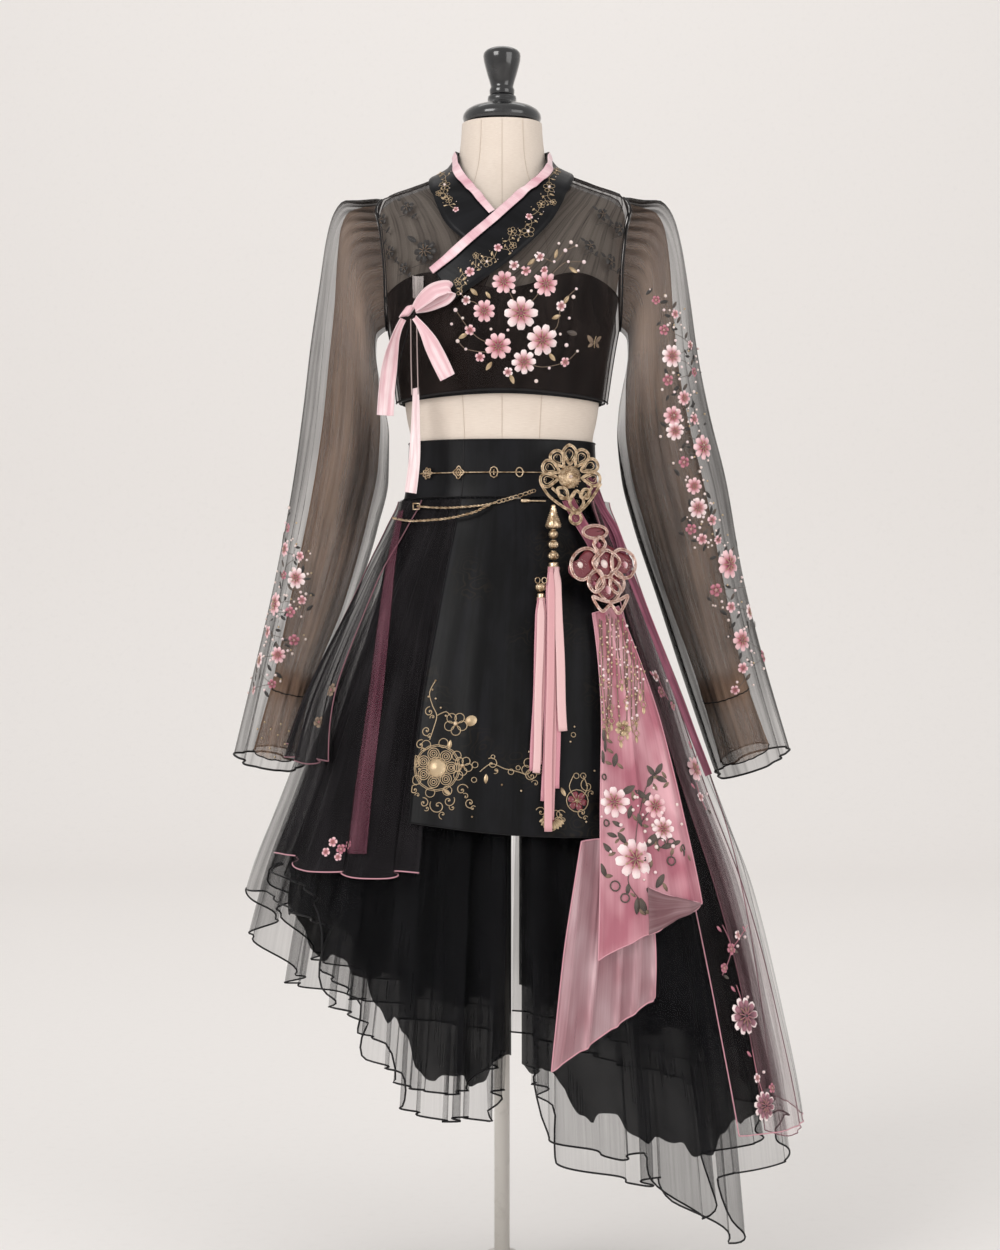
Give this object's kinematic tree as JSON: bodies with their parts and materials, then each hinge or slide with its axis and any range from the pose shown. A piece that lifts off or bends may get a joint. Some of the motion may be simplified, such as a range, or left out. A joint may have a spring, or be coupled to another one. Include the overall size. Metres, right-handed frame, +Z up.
{
  "type": "korean hanbok on a limbless dress form",
  "caption": "Sheer black hanbok with a crossed collar, bow, layered slanting skirt and pendants, worn by a limbless dress form on a round stand.",
  "frame": {"origin": "centre of the stand's underside, on the surface that it stands on", "axes": "+Z up along the pole; the garment's front faces -Y; +X is the viewer's right, the wearer's left"},
  "size_m": [0.7679, 0.535, 1.6035],
  "materials": {
    "canvas": "woven cotton canvas, matte",
    "gloss_black": "turned and lacquered, glossy",
    "pale_metal": "satin paint",
    "organza_black": "sheer organza, slight sheen",
    "organza_taupe": "sheer tube, matte",
    "organza_pink": "sheer pink organza with a satin edge",
    "tulle_black": "dense layered tulle, matte",
    "satin_black": "black satin",
    "satin_pink": "pink satin",
    "satin_rose": "dark rose satin ribbon",
    "gold": "antique gold",
    "rose_gold": "rose gold"
  },
  "bodies": {
    "root": {"form_bust": "canvas", "neck_cap": "gloss_black", "finial": "gloss_black", "stand_base": "pale_metal", "stand_pole": "pale_metal", "bodice_front_left": "organza_black", "bodice_front_right": "organza_black", "bodice_back": "organza_black", "bustier": "satin_black", "git_left": "satin_black", "git_right": "satin_black", "dongjeong_left": "satin_pink", "dongjeong_right": "satin_pink", "sleeve_left": "organza_black", "under_sleeve_left": "organza_taupe", "sleeve_right": "organza_black", "under_sleeve_right": "organza_taupe", "bow_knot": "satin_pink", "bow_loop": "satin_pink", "bow_tail_left": "satin_pink", "bow_tail_right": "satin_pink", "long_ribbon": "organza_pink", "waistband": "satin_black", "skirt_outer_left": "organza_black", "underskirt_left": "tulle_black", "skirt_outer_right": "organza_black", "underskirt_right": "tulle_black", "apron": "satin_black", "overlay_left_lower": "organza_black", "overlay_left_upper": "organza_black", "overlay_right": "organza_black", "overlay_right_pink": "organza_pink", "scarf_upper": "satin_pink", "scarf_lower": "organza_pink", "norigae_gold": "gold", "norigae_rose": "rose_gold", "bell_pendant": "gold", "bead_1": "gold", "bead_2": "gold", "bead_3": "gold", "side_bead": "gold", "tassel_main": "satin_pink", "tassel_side": "satin_pink", "chain_upper": "gold", "chain_lower": "gold", "charm_line": "gold", "charm_1": "gold", "charm_2": "gold", "charm_3": "gold", "charm_4": "gold", "rose_ribbon": "satin_rose"}
  },
  "joints": []
}
